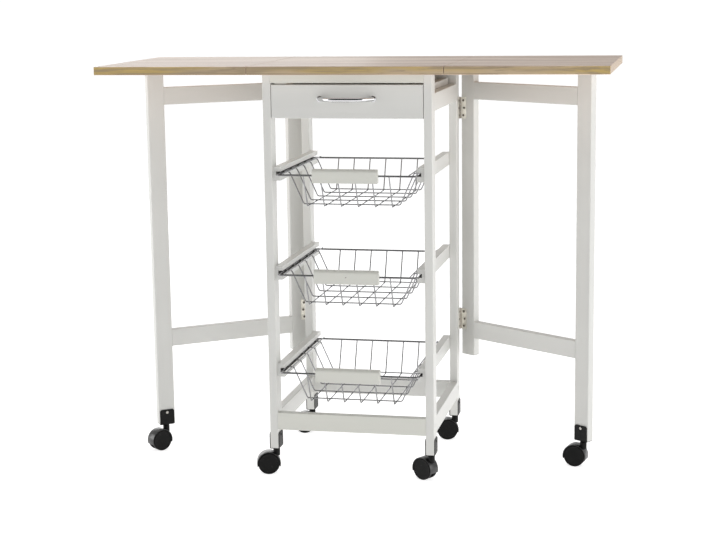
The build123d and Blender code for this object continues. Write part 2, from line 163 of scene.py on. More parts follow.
def rounded(corners: object, radius: float, steps: int, closed: bool = False) -> Array:
    """Path through corners with every turn an arc.

    With unit vectors b back and o onward at a corner and h half the angle between them, the arc's middle is
    corner + radius / sin(h) along b + o, and its points are the spherical blend of its two tangent points.

    Args:
        corners: The path's corners, n by 3.
        radius: Radius of each arc.
        steps: Points on each arc.
        closed: True for a loop.

    Returns:
        The path's points.
    """
    corners = np.asarray(corners, float)
    if closed:
        before, middle, after = np.roll(corners, 1, 0), corners, np.roll(corners, -1, 0)
    else:
        before, middle, after = corners[:-2], corners[1:-1], corners[2:]
    back, onward = unit(before - middle), unit(after - middle)
    half = np.arccos(np.clip((back * onward).sum(-1), -1, 1))[:, None] / 2
    centre = middle + unit(back + onward) * radius / np.sin(half)
    first, last = (middle + way * radius / np.tan(half) - centre for way in (back, onward))
    turn = (np.pi - 2 * half)[:, None, :]
    share = np.linspace(0, 1, steps)[None, :, None]
    arcs = first[:, None] * np.sin((1 - share) * turn) + last[:, None] * np.sin(share * turn)
    arcs = (centre[:, None] + arcs / np.sin(turn)).reshape(-1, 3)
    return arcs if closed else np.vstack([corners[:1], arcs, corners[-1:]])


def tube(path: Array, radius: float, flat: Array, sides: int, closed: bool = False) -> Skin:
    """Round tube along a flat path: path + radius (cos a (tangent x flat) + sin a flat).

    Args:
        path: Points of the path, n by 3.
        radius: Radius of the tube.
        flat: Unit normal of the plane that the path lies in.
        sides: Points round the tube.
        closed: True for a loop.

    Returns:
        The tube's skin.
    """
    if closed:
        tangent = unit(np.roll(path, -1, 0) - np.roll(path, 1, 0))
    else:
        tangent = unit(np.gradient(path, axis=0))
    across = np.cross(tangent, flat)[:, None]
    return wrapped(path[:, None] + radius * spokes(across, flat, ring(sides)), closed)


def turned(profile: object, origin: Array, axis: Array, sides: int) -> Skin:
    """Turned surface: origin + height axis + radius (cos a u + sin a v), a ring for each (radius, height)."""
    radius, height = np.asarray(profile, float).T[:, :, None, None]
    return wrapped(origin + height * axis + radius * spokes(*square_to(axis), ring(sides)))


def arched(section: Array, origin: Array, forward: Array, across: Array, turn: Array) -> Skin:
    """Points (r, w) of a section carried round an arc: origin + r (cos t forward + sin t up) + w across."""
    spoke = spokes(forward, UP, turn)[:, None]
    return wrapped(origin + section[:, :1] * spoke + section[:, 1:] * across)


def slab(outline: Array, depth: Array) -> Skin:
    """Flat plate: an outline of points, and the same outline moved by depth."""
    return wrapped(np.stack([outline, outline + depth]))


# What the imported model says


def box(node: str) -> tuple[Array, Array]:
    """Lowest and highest corner of a node, as arrays."""
    low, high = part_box(node)
    return np.array(low), np.array(high)


def pivot(joint: str) -> Array:
    """The point that a joint turns about or slides from."""
    return np.array(next(j for j in frame["joints"] if j["name"] == joint)["pos_m"])


def rim_height(level: Level) -> float:
    """Height of a basket's rim, which runs behind the middle of its grip board."""
    return float(sum(box(f"{level.value}_basket_handle_board"))[2] / 2)


def gate_turn(side: Side, leg_offset: float = 9.1 * MM) -> float:
    """Angle of a gate's long way in plan: the line from pin to stem, turned by arcsin(offset / distance)."""
    way = (pivot(f"{side.word} gate caster swivel") - pivot(f"{side.word} gate hinge"))[:2]
    return atan2(way[1], way[0]) - side.value * np.arcsin(leg_offset / np.linalg.norm(way))


# Node trees


class Shader:
    """A node tree being built, with short calls to add and join its nodes."""

    def __init__(self, tree: NodeTree) -> None:
        """Starts on a tree."""
        self.tree = tree

    def put(self, target: NodeSocket, value: object) -> None:
        """Links a socket to an input, or sets a plain value on it.

        Args:
            target: The input.
            value: A socket, a number, a vector, a colour of three numbers, or None to leave it alone.
        """
        if isinstance(value, NodeSocket):
            self.tree.links.new(value, target)
        elif value is not None:
            target.default_value = (*value, 1.0) if target.type == "RGBA" else value

    def feed(self, node: Node, **values: object) -> Node:
        """Fills a node's inputs and sets its properties.

        Args:
            node: The node.
            values: Inputs by title, with _ for a blank, and properties, whose names start small.

        Returns:
            The same node.
        """
        for name, value in values.items():
            if name[0].isupper():
                self.put(node.inputs[name.replace("_", " ")], value)
            else:
                setattr(node, name, value)
        return node

    def node(self, kind: str, *first: object, **values: object) -> Node:
        """Adds a node.

        Args:
            kind: Its type, without the ShaderNode prefix.
            first: What its first inputs get, in order.
            values: Other inputs and its properties, as in feed.

        Returns:
            The new node.
        """
        made = self.feed(self.tree.nodes.new("ShaderNode" + kind), **values)
        for target, value in zip(made.inputs, first):
            self.put(target, value)
        return made

    def maths(self, operation: str, *values: object, clamp: bool = False) -> NodeSocket:
        """Adds a Math node on sockets or numbers and gives its output."""
        return self.node("Math", *values, operation=operation, use_clamp=clamp).outputs[0]

    def times(self, first: object, second: object) -> NodeSocket:
        """Adds a product and gives its output."""
        return self.maths("MULTIPLY", first, second)

    def mix(self, share: object, first: object, second: object) -> NodeSocket:
        """Adds a colour mix, whose two colours are inputs 6 and 7, and gives its output."""
        return self.node("Mix", share, *[None] * 5, first, second, data_type="RGBA").outputs[2]

    def ramp(self, value: NodeSocket, low: float, high: float, out_low: float = 0.0,
             out_high: float = 1.0) -> NodeSocket:
        """Maps a value smoothly from one range to another and gives the output."""
        kind = "SMOOTHSTEP"
        return self.node("MapRange", value, low, high, out_low, out_high, interpolation_type=kind).outputs[0]

    def noise(self, vector: NodeSocket, scale: float, detail: float,
              stretch: Triple = (1.0, 1.0, 1.0)) -> NodeSocket:
        """Adds noise on a stretched vector and gives its factor."""
        mapped = self.node("Mapping", vector, Scale=stretch).outputs[0]
        return self.node("TexNoise", mapped, Scale=scale, Detail=detail).outputs[0]

    def dot(self, first: object, second: object) -> NodeSocket:
        """Adds a dot product and gives its value."""
        return self.node("VectorMath", first, second, operation="DOT_PRODUCT").outputs["Value"]

    def parts(self, vector: NodeSocket) -> Sockets:
        """Splits a vector into its three numbers."""
        return self.node("SeparateXYZ", vector).outputs

    def bounced(self, path: Sockets) -> NodeSocket:
        """One for a ray that has been mirrored or bent, from the outputs of a Light Path node."""
        return self.maths("MAXIMUM", path["Is Glossy Ray"], path["Is Transmission Ray"])


class Coat(Shader):
    """The nodes of a new material, round its Principled shader."""

    def __init__(self, name: str, **values: object) -> None:
        """Starts a material.

        Args:
            name: Its name.
            values: Plain values of its Principled shader, by title.
        """
        self.material = bpy.data.materials.new(name)
        self.material.use_nodes = True
        super().__init__(self.material.node_tree)
        self.principled = self.feed(self.tree.nodes["Principled BSDF"], **values)

    def surface(self, kind: str = "Object") -> NodeSocket:
        """The surface's own coordinates, or its normal."""
        return self.node("TexCoord").outputs[kind]

    def group(self, tree: NodeTree, **values: object) -> Sockets:
        """Places a shared group with its own values and gives its outputs."""
        return self.node("Group", node_tree=tree, **values).outputs

    def done(self, colour: NodeSocket, roughness: NodeSocket, height: NodeSocket, relief: float,
             distance: float) -> Material:
        """Feeds the Principled shader its base colour, its roughness and, through a Bump node, its normal.

        Args:
            colour: The base colour.
            roughness: The roughness.
            height: Height of the relief.
            relief: Strength of the relief.
            distance: Depth of the relief.

        Returns:
            The material.
        """
        bump = self.node("Bump", Strength=relief, Distance=distance, Height=height)
        self.feed(self.principled, Base_Color=colour, Roughness=roughness, Normal=bump.outputs[0])
        return self.material


def new_group(name: str, inputs: dict[str, float | None],
              outputs: tuple[str, ...]) -> tuple[Shader, Sockets, Node]:
    """Starts a node group.

    Args:
        name: The group's name.
        inputs: Titles of its inputs with their usual numbers, or None for a vector.
        outputs: Titles of its outputs, all numbers.

    Returns:
        A shader builder on the group, the sockets that bring its inputs, and the node that takes its outputs.
    """
    s = Shader(bpy.data.node_groups.new(name, "ShaderNodeTree"))
    for title, usual in inputs.items():
        kind = "NodeSocketVector" if usual is None else "NodeSocketFloat"
        made = s.tree.interface.new_socket(title, in_out="INPUT", socket_type=kind)
        if usual is not None:
            made.default_value = usual
    for title in outputs:
        s.tree.interface.new_socket(title, in_out="OUTPUT", socket_type="NodeSocketFloat")
    return s, s.tree.nodes.new("NodeGroupInput").outputs, s.tree.nodes.new("NodeGroupOutput")


@cache
def board_figure() -> NodeTree:
    """Wood figure along the vector's X: slow bands, growth lines, short pores and a fine fibre height.

    Returns:
        The group, with outputs Bands, Lines, Pores and Height.
    """
    titles = ("Bands", "Lines", "Pores", "Height")
    s, given, out = new_group("board figure", {"Vector": None, "Wander": 0.02}, titles)
    x, y, z = s.parts(given["Vector"])
    slow = s.noise(given["Vector"], scale=3.0, detail=2.0, stretch=(0.6, 1.0, 1.0))
    wander = s.maths("SUBTRACT", slow, 0.5)
    moved = s.node("CombineXYZ", x, s.maths("ADD", y, s.times(wander, given["Wander"])), z).outputs[0]
    lines = s.noise(moved, scale=1.0, detail=4.0, stretch=(2.2, 190.0, 190.0))
    bands = s.noise(moved, scale=1.0, detail=3.0, stretch=(1.6, 26.0, 26.0))
    pores = s.ramp(s.noise(moved, scale=1.0, detail=2.0, stretch=(34.0, 900.0, 900.0)), 0.60, 0.70)
    fibre = s.maths("MULTIPLY_ADD", pores, -0.6, s.times(lines, 0.5))
    s.feed(out, Bands=bands, Lines=lines, Pores=pores, Height=fibre)
    return s.tree


@cache
def light_use() -> NodeTree:
    """Signs of light use: slow patches of tone, fine specks of dust, and a soft uneven skin.

    Returns:
        The group, with outputs Patches, Specks and Height.
    """
    s, given, out = new_group("light use", {"Vector": None, "Amount": 1.0}, ("Patches", "Specks", "Height"))
    vector, amount = given["Vector"], given["Amount"]
    patches = s.maths("SUBTRACT", s.noise(vector, scale=9.0, detail=4.0), 0.5)
    specks = s.ramp(s.noise(vector, scale=900.0, detail=1.0), 0.70, 0.76)
    s.feed(out, Patches=s.times(patches, amount), Specks=s.times(specks, amount),
           Height=s.noise(vector, scale=420.0, detail=2.0))
    return s.tree


@cache
def softened_edges() -> NodeTree:
    """Edge mask: how far a normal rounded over the width turns from the true one.

    Returns:
        The group, with output Edge.
    """
    s, given, out = new_group("softened edges", {"Width": 1 * MM}, ("Edge",))
    softened = s.node("Bevel", samples=4, Radius=given["Width"]).outputs[0]
    s.feed(out, Edge=s.ramp(s.dot(softened, s.node("NewGeometry").outputs["Normal"]), 1.0, 0.8))
    return s.tree


# Finishes


def shade(colour: Triple, factor: float) -> Triple:
    """A colour times a factor."""
    return tuple(c * factor for c in colour)


@dataclass(frozen=True)
class Finish:
    """What every finish has: its material's name, a colour, a roughness and a strength of relief."""

    name: str
    colour: Triple
    roughness: float
    relief: float

    def start(self, **values: object) -> tuple[Coat, NodeSocket]:
        """Starts the material with these plain values and gives it with the object's coordinates."""
        s = Coat(self.name, Roughness=self.roughness, **values)
        return s, s.surface()


@dataclass(frozen=True)
class PaintedWood(Finish):
    """Sprayed white paint on planed wood, its grain faintly telling through, lighter along the edges.

    The rotation brings the board's long way onto the figure's X.
    """

    colour: Triple = (0.70, 0.70, 0.675)
    roughness: float = 0.42
    relief: float = 0.35
    rotation: Triple = (0.0, 0.0, 0.0)
    edge: Triple = (0.80, 0.79, 0.76)

    def material(self) -> Material:
        """Builds the paint.

        Returns:
            The material.
        """
        s, place = self.start()
        along = s.node("Mapping", place, Rotation=self.rotation).outputs[0]
        figure, use = s.group(board_figure(), Vector=along), s.group(light_use(), Vector=place)
        edge = s.group(softened_edges(), Width=1.2 * MM)["Edge"]
        darker = shade(self.colour, 0.955)
        tone = s.mix(s.ramp(figure["Bands"], 0.35, 0.65), self.colour, darker)
        tone = s.mix(s.times(figure["Lines"], 0.10), tone, darker)
        tone = s.mix(s.times(edge, 0.5), tone, self.edge)
        rough = s.maths("MULTIPLY_ADD", use["Patches"], 0.12, self.roughness)
        height = s.maths("MULTIPLY_ADD", figure["Height"], 0.5, s.times(use["Height"], 0.5))
        return s.done(tone, rough, height, self.relief, distance=0.2 * MM)


@dataclass(frozen=True)
class GroovedPaint(PaintedWood):
    """White paint on the basket strips, with painted shade darkening their routed grooves."""

    rims: tuple[float, ...] = ()
    middle: float = 127.65 * MM
    half_depth: float = 3.95 * MM
    groove: float = 6.8 * MM
    lift: float = 0.95 * MM
    # Colour of the painted shade inside the grooves, and how much of it covers them
    bare: Triple = (0.10, 0.095, 0.085)
    cover: float = 0.85

    def material(self) -> Material:
        """Paints shade into the grooves: darkens the paint within half a groove of each rim's height, between
        the strips' faces and backs.

        Returns:
            The material.
        """
        made = super().material()
        s = Shader(made.node_tree)
        base = s.tree.nodes["Principled BSDF"].inputs["Base Color"]
        x, _, z = s.parts(s.node("TexCoord").outputs["Object"])
        near = 0.0
        for rim in self.rims:
            near = s.maths("ADD", near, s.maths("COMPARE", z, rim + self.lift, self.groove / 2))
        inside = s.maths("COMPARE", s.maths("ABSOLUTE", x), self.middle, self.half_depth)
        share = s.times(s.times(near, inside), self.cover)
        # Painted shade: the paint inside the grooves is mixed towards a dark colour
        s.put(base, s.mix(share, base.links[0].from_socket, self.bare))
        return made


@dataclass(frozen=True)
class OakTop(Finish):
    """Light oak worktop: satin pinkish beige face with growth lines, yellower edges, paler end grain."""

    streak: Triple = (0.475, 0.33, 0.24)
    edge: Triple = (0.52, 0.40, 0.26)
    sapwood: Triple = (0.53, 0.38, 0.13)
    end: Triple = (0.58, 0.44, 0.31)

    def material(self) -> Material:
        """Builds the oak.

        Returns:
            The material.
        """
        s, place = self.start()
        figure = s.group(board_figure(), Vector=place, Wander=0.12)
        bands, lines = s.ramp(figure["Bands"], 0.38, 0.62), figure["Lines"]
        face = s.mix(s.times(bands, 0.6), self.colour, self.streak)
        face = s.mix(s.ramp(lines, 0.45, 0.60, 0.0, 0.7), face, self.streak)
        slow = s.ramp(s.noise(place, scale=1.0, detail=2.0, stretch=(3.5, 9.0, 40.0)), 0.42, 0.60)
        side = s.mix(slow, self.edge, self.sapwood)
        side = s.mix(s.times(bands, 0.8), side, shade(self.edge, 0.60))
        side = s.mix(s.ramp(lines, 0.44, 0.62, 0.0, 0.75), side, shade(self.edge, 0.58))
        flecks = s.noise(place, scale=1.0, detail=2.0, stretch=(60.0, 260.0, 700.0))
        end = s.mix(s.ramp(flecks, 0.45, 0.65, 0.0, 0.6), self.end, shade(self.end, 0.72))
        x, _, z = (s.maths("ABSOLUTE", part) for part in s.parts(s.surface("Normal")))
        tone = s.mix(s.ramp(z, 0.45, 0.75), s.mix(s.ramp(x, 0.6, 0.8), side, end), face)
        tone = s.mix(s.times(figure["Pores"], 0.45), tone, shade(self.streak, 0.51))
        rough = s.maths("MULTIPLY_ADD", lines, 0.10, self.roughness - 0.05)
        return s.done(tone, rough, figure["Height"], self.relief, distance=0.25 * MM)


@dataclass(frozen=True)
class Metal(Finish):
    """Plated or plain metal with fine drawing lines and slight patches of tarnish."""

    tarnish: Triple = (0.35, 0.31, 0.26)
    tarnish_share: float = 0.15

    def material(self) -> Material:
        """Builds the metal.

        Returns:
            The material.
        """
        s, place = self.start(Metallic=1.0)
        patches = s.group(light_use(), Vector=place)["Patches"]
        tone = s.mix(s.times(s.ramp(patches, 0.0, 0.25), self.tarnish_share), self.colour, self.tarnish)
        rough = s.maths("MULTIPLY_ADD", patches, 0.25, self.roughness, clamp=True)
        drawn = s.noise(place, scale=1400.0, detail=2.0)
        return s.done(tone, rough, drawn, self.relief, distance=0.03 * MM)


@dataclass(frozen=True)
class MouldedPlastic(Finish):
    """Black moulded plastic: fine spark texture, scuffs that lift the tone, a little dust."""

    scuff: Triple = (0.018, 0.018, 0.018)
    gloss: float = 0.14
    dust: Triple = (0.35, 0.34, 0.32)

    def material(self) -> Material:
        """Builds the plastic.

        Returns:
            The material.
        """
        s, place = self.start(Specular_IOR_Level=self.gloss)
        use = s.group(light_use(), Vector=place)
        edge = s.group(softened_edges(), Width=0.8 * MM)["Edge"]
        worn = s.ramp(use["Patches"], 0.02, 0.3, 0.0, 0.3)
        tone = s.mix(s.maths("ADD", s.times(edge, 0.25), worn, clamp=True), self.colour, self.scuff)
        tone = s.mix(s.times(use["Specks"], 0.25), tone, self.dust)
        rough = s.maths("MULTIPLY_ADD", use["Patches"], 0.3, self.roughness, clamp=True)
        return s.done(tone, rough, use["Height"], self.relief, distance=0.06 * MM)


DEEPWAYS, UPRIGHT = (0.0, 0.0, radians(90)), (0.0, radians(90), 0.0)


class Look(Enum):
    """The finishes of this trolley."""

    PAINT_ACROSS = PaintedWood("white paint across")
    # A darker, slightly yellower copy of the white paint for the front rails and grip boards; its darkness is
    # painted shade
    PAINT_FRONT = PaintedWood("white paint front", (0.67, 0.672, 0.62))
    PAINT_DEEP = PaintedWood("white paint deep", rotation=DEEPWAYS)
    PAINT_GROOVED = GroovedPaint("white paint grooved", rotation=DEEPWAYS, rims=tuple(map(rim_height, Level)))
    PAINT_UPRIGHT = PaintedWood("white paint upright", rotation=UPRIGHT)
    PAINT_LEFT_GATE = PaintedWood("white paint left gate", rotation=(0.0, 0.0, -gate_turn(Side.LEFT)))
    PAINT_RIGHT_GATE = PaintedWood("white paint right gate", rotation=(0.0, 0.0, -gate_turn(Side.RIGHT)))
    OAK = OakTop("light oak worktop", (0.81, 0.65, 0.525), 0.38, 0.35)
    DRAWER_BOARD = PaintedWood("drawer board", (0.66, 0.655, 0.63), 0.55, 0.3)
    # The rim is the same drawn wire as the thin wires; its darker colour is a painted dark reflection and the
    # painted shade of the strips' grooves
    RIM_WIRE = Metal("dark drawn rim wire", (0.20, 0.20, 0.205), 0.20, 0.2, (0.12, 0.115, 0.11))
    WIRE = Metal("bright drawn wire", (0.32, 0.32, 0.33), 0.20, 0.2, (0.18, 0.17, 0.165))
    CHROME = Metal("polished chrome", (0.62, 0.62, 0.63), 0.08, 0.1, (0.4, 0.4, 0.4))
    LEAF = Metal("zinc plated leaf", (0.86, 0.84, 0.79), 0.34, 0.3, (0.55, 0.50, 0.42))
    # The knuckles are the same zinc as the leaves; their dark colour is a painted dark reflection on the
    # round barrels
    KNUCKLE = Metal("worn zinc knuckle", (0.34, 0.31, 0.27), 0.26, 0.3, (0.16, 0.14, 0.12), 0.6)
    SCREW = Metal("zinc screw", (0.62, 0.60, 0.56), 0.28, 0.3)
    DARK_SCREW = Metal("dulled screw", (0.16, 0.14, 0.12), 0.38, 0.3, (0.05, 0.045, 0.04))
    BLACK_STEEL = MouldedPlastic("black lacquered steel", (0.006, 0.006, 0.006), 0.42, 0.3, gloss=0.16)
    HOOD = MouldedPlastic("half gloss hood", (0.009, 0.009, 0.0095), 0.26, 0.4, (0.05, 0.05, 0.052), 0.75)
    WHEEL = MouldedPlastic("black wheel", (0.006, 0.006, 0.006), 0.50, 0.5)


@cache
def material(look: Look) -> Material:
    """The look's material, built on first use."""
    return look.value.material()


def clothe(look: Look, *nodes: str) -> None:
    """Gives CAD nodes a finish.

    Args:
        look: The finish.
        nodes: Names of the nodes.
    """
    for node in nodes:
        for slot in frame["nodes"][node].material_slots:
            slot.material = material(look)
        LOG.info("%s in %s", node, look.value.name)


def placed(name: str, data: ID) -> Object:
    """Puts a mesh, a light or a camera in the scene.

    Args:
        name: The new object's name.
        data: What it shows.

    Returns:
        The object.
    """
    made = bpy.data.objects.new(name, data)
    bpy.context.scene.collection.objects.link(made)
    return made


def piece(name: str, skins: list[Skin], look: Look, body: str, replaces: tuple[str, ...] = (),
          crease: float = 38.0) -> None:
    """Makes one object of several skins, dresses it and lets it ride.

    Args:
        name: The piece's name.
        skins: Its closed surfaces.
        look: The finish it wears.
        body: The body it rides on.
        replaces: CAD nodes that it stands for.
        crease: Angle in degrees above which an edge stays sharp.
    """
    starts = np.cumsum([0] + [len(skin.points) for skin in skins])
    faces = [row for skin, start in zip(skins, starts) for block in skin.faces
             for row in (block + start).tolist()]
    mesh = bpy.data.meshes.new(name)
    mesh.from_pydata(np.vstack([skin.points for skin in skins]), [], faces)
    mesh.validate()
    mesh.polygons.foreach_set("use_smooth", np.ones(len(mesh.polygons), bool))
    mesh.set_sharp_from_angle(angle=radians(crease))
    mesh.materials.append(material(look))
    made = placed(name, mesh)
    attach(made, body)
    if replaces:
        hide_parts(*replaces)
    LOG.info("%s: %d faces in %s, riding on %s", name, len(mesh.polygons), look.value.name, body)


# Small fasteners


@dataclass(frozen=True)
class Screw:
    """Cross-head screw: a low dome with a four-pointed recess, its rings and arms as shares of the radius."""

    radius: float = 2.6 * MM
    rise: float = 0.9 * MM
    recess: float = 0.55 * MM
    arm: float = 0.62
    arm_width: float = 0.17
    slope: float = 0.05
    fullness: float = 1.04
    sides: int = 40
    rings: tuple[float, ...] = (1.0, 1.0, 0.94, 0.84, 0.72, 0.62, 0.58, 0.46, 0.34, 0.22, 0.17, 0.13, 0.05)

    def skin(self, seat: Array, outward: Array, turn: float) -> Skin:
        """Head on a polar grid: height = rise (fullness - share^2)^0.5, less the recess inside the cross.

        In the cross, the smaller of |x| and |y| is under the arm's width and the larger under its length.

        Args:
            seat: Point on the surface below the head's middle.
            outward: Unit vector away from the surface.
            turn: Angle of the cross, in radians.

        Returns:
            The head's skin.
        """
        share, angle = np.array(self.rings)[:, None], ring(self.sides)
        x, y = share * np.cos(angle), share * np.sin(angle)
        narrow = np.clip((self.arm_width - np.minimum(abs(x), abs(y))) / self.slope, 0, 1)
        short = np.clip((self.arm - np.maximum(abs(x), abs(y))) / self.slope, 0, 1)
        dome = self.rise * np.sqrt(np.clip(self.fullness - share ** 2, 0, None))
        height = dome - self.recess * (narrow * short)
        height[0] = SUNK
        u, v = square_to(outward)
        u, v = u * cos(turn) + v * sin(turn), v * cos(turn) - u * sin(turn)
        rings = self.radius * (x[..., None] * u + y[..., None] * v)
        return wrapped(seat + rings + height[..., None] * outward)


@dataclass(frozen=True)
class HingeHalf:
    """Half of a butt hinge: a leaf let in over the wood, with tabs that roll into round knuckles."""

    foot: Array
    axis: Array
    along: Array
    behind: Array
    rows: tuple[int, ...]
    length: float = 41 * MM
    leaf_width: float = 12.5 * MM
    leaf_start: float = 2.6 * MM
    offset: float = 1.6 * MM
    knuckle: float = 2.2 * MM
    leaf: float = 1.2 * MM
    gap: float = 0.4 * MM
    corner: float = 1.5 * MM
    ease: float = 0.25 * MM
    spread: float = 0.35
    screw_reach: float = 0.46
    screw_stagger: float = 0.16

    @property
    def face(self) -> Array:
        """Vector from the pin line to the leaf's outer face."""
        return self.behind * (self.offset - self.leaf)

    def spans(self) -> list[tuple[float, float]]:
        """Start and end of each of this half's knuckles along the pin, a third of the length apart."""
        pitch = (self.length + self.gap) / 3
        return [(row * pitch, (row + 1) * pitch - self.gap) for row in self.rows]

    def plate(self) -> Skin:
        """Leaf whose free corners are quarter circles, one tab running in to the pin line at each knuckle.

        Returns:
            The plate's skin.
        """
        start, far, r = self.leaf_start, self.leaf_start + self.leaf_width, self.corner
        turn = np.linspace(0, np.pi / 2, 5)
        lower = np.stack([far - r + r * np.sin(turn), r - r * np.cos(turn)], -1)
        upper = np.stack([far - r + r * np.cos(turn), self.length - r + r * np.sin(turn)], -1)
        tabs = [(a, b) for low, high in reversed(self.spans())
                for a, b in ((start, high), (0.0, high), (0.0, low), (start, low))]
        if 0 not in self.rows:
            tabs = [(start, self.length), *tabs, (start, 0.0)]
        outline = np.vstack([lower, upper, tabs])
        outline = self.foot + self.face + outline[:, :1] * self.along + outline[:, 1:] * self.axis
        return slab(outline, self.behind * self.leaf)

    def barrels(self) -> list[Skin]:
        """Round knuckles with eased ends, and the pin's two low heads on the half that has both end knuckles.

        Returns:
            One skin for each knuckle and head.
        """
        r, ease, neck = self.knuckle, self.ease, self.knuckle * 0.6
        made = []
        for low, high in self.spans():
            outline = [(neck, low), (r - ease, low), (r, low + ease)]
            outline += [(r, high - ease), (r - ease, high), (neck, high)]
            made.append(turned(outline, self.foot, self.axis, sides=28))
        if 0 in self.rows:
            head = [(r * 0.7, SUNK), (r * 0.7, 0.3 * MM), (r * 0.6, 0.55 * MM), (r * 0.3, 0.7 * MM)]
            made.append(turned(head, self.foot + self.axis * self.length, self.axis, sides=24))
            made.append(turned(head, self.foot, -self.axis, sides=24))
        return made

    def screws(self, screw: Screw) -> list[Skin]:
        """Three screws on the leaf, the middle one further from the pin.

        Args:
            screw: The kind of screw.

        Returns:
            One skin for each screw.
        """
        made = []
        for shift in (-self.spread, 0.0, self.spread):
            reach = self.leaf_start + self.leaf_width * (self.screw_reach + self.screw_stagger * (shift == 0))
            seat = self.foot + self.axis * self.length * (0.5 + shift) + self.along * reach + self.face
            made.append(screw.skin(seat, -self.behind, 0.5 + 2 * shift))
        return made


def hang_hinges(name: str, halves: list[HingeHalf], body: str, node: str, screw: Screw) -> None:
    """Makes the leaves, knuckles and screws of several hinge halves that share a body.

    Args:
        name: Start of the pieces' names.
        halves: The hinge halves.
        body: The body they ride on.
        node: The CAD node that they stand for.
        screw: The kind of screw.
    """
    barrels = [skin for half in halves for skin in half.barrels()]
    screws = [skin for half in halves for skin in half.screws(screw)]
    piece(f"{name}_leaves", [half.plate() for half in halves], Look.LEAF, body, (node,), crease=30.0)
    piece(f"{name}_knuckles", barrels, Look.KNUCKLE, body)
    piece(f"{name}_screws", screws, Look.DARK_SCREW, body)


# Sub-assemblies


@dataclass
class Worktop:
    """Fixed middle panel and two flaps, with the hinges under their seams."""

    hinge_length: float = 50 * MM
    leaf_width: float = 17 * MM
    leaf_start: float = 2.7 * MM
    knuckle: float = 2.4 * MM
    screw: Screw = Screw(radius=2.2 * MM, rise=0.7 * MM)

    def dress(self) -> None:
        """Dresses the three panels and makes the hinges below the seams."""
        clothe(Look.OAK, "centre_top", "left_flap", "right_flap")
        fixed: list[HingeHalf] = []
        for side in Side:
            node = f"{side.word}_flap_hinge_halves"
            low, high = box(node)
            pin, way = pivot(f"{side.word} flap hinge"), ACROSS * side.value
            sizes = (self.hinge_length, self.leaf_width, self.leaf_start, high[2] - pin[2], self.knuckle)
            moving: list[HingeHalf] = []
            for y in (low[1], high[1] - self.hinge_length):
                foot = np.array((pin[0], y, pin[2]))
                moving.append(HingeHalf(foot, DEEP, way, UP, (1,), *sizes))
                fixed.append(HingeHalf(foot, DEEP, -way, UP, (0, 2), *sizes))
            hang_hinges(f"{side.word}_flap_hinge", moving, f"{side.word} flap", node, self.screw)
        hang_hinges("centre_top_hinge", fixed, "frame", "centre_top_hinge_halves", self.screw)


@dataclass
class Frame:
    """Legs, rails, basket strips and drawer runners, with the screw caps on the legs' outer faces."""

    cap_radius: float = 4.0 * MM
    cap_side: float = 0.3 * MM
    cap_rise: float = 0.7 * MM

    def dress(self) -> None:
        """Dresses the frame's wood and adds the screw caps, level with the front bottom rail's middle."""
        legs = [f"{end}_{side.word}_leg" for end in ("front", "rear") for side in Side]
        clothe(Look.PAINT_UPRIGHT, *legs)
        clothe(Look.PAINT_ACROSS, "rear_bottom_rail", "rear_top_rail")
        clothe(Look.PAINT_FRONT, "front_bottom_rail", "front_top_rail")
        clothe(Look.PAINT_DEEP, "drawer_runners")
        for side in Side:
            clothe(Look.PAINT_DEEP, f"{side.word}_bottom_side_rail", f"{side.word}_upper_side_rail")
            clothe(Look.PAINT_GROOVED, f"{side.word}_basket_strips")
        height = sum(box("front_bottom_rail"))[2] / 2
        r, rise = self.cap_radius, self.cap_rise
        outline = [(r, SUNK), (r, self.cap_side), (r * 0.93, rise * 0.85), (r * 0.8, rise), (r * 0.1, rise)]
        caps = []
        for leg in legs:
            low, high = box(leg)
            hand, x = (1.0, high[0]) if low[0] > 0 else (-1.0, low[0])
            seat = np.array((x, (low[1] + high[1]) / 2, height))
            caps.append(turned(outline, seat, hand * ACROSS, sides=32))
        piece("leg_screw_caps", caps, Look.PAINT_UPRIGHT, "frame")


@dataclass
class Drawer:
    """Drawer box with a chrome bow handle."""

    bar: float = 4.0 * MM
    pitch: float = 96 * MM
    straight: float = 58 * MM
    bend: float = 30 * MM
    collar: float = 5.4 * MM
    collar_height: float = 1.4 * MM

    def dress(self) -> None:
        """Dresses the box and bends the handle, with a low collar at each of its feet."""
        clothe(Look.PAINT_ACROSS, "drawer_front")
        clothe(Look.DRAWER_BOARD, "drawer_sides", "drawer_back", "drawer_bottom")
        low, high = box("drawer_handle")
        z = (low[2] + high[2]) / 2
        foot, reach, y = self.pitch / 2, self.straight / 2, low[1] + self.bar
        corners = [(-foot, high[1], z), (-reach, y, z), (reach, y, z), (foot, high[1], z)]
        r, h = self.collar, self.collar_height
        outline = [(r, 0.0), (r, h * 0.55), (r * 0.95, h * 0.85), (r * 0.84, h), (r * 0.5, h)]
        skins = [tube(rounded(corners, self.bend, steps=22), self.bar, UP, sides=28)]
        skins += [turned(outline, np.array((x, high[1], z)), -DEEP, sides=40) for x in (-foot, foot)]
        piece("bow_handle", skins, Look.CHROME, "drawer", ("drawer_handle",))


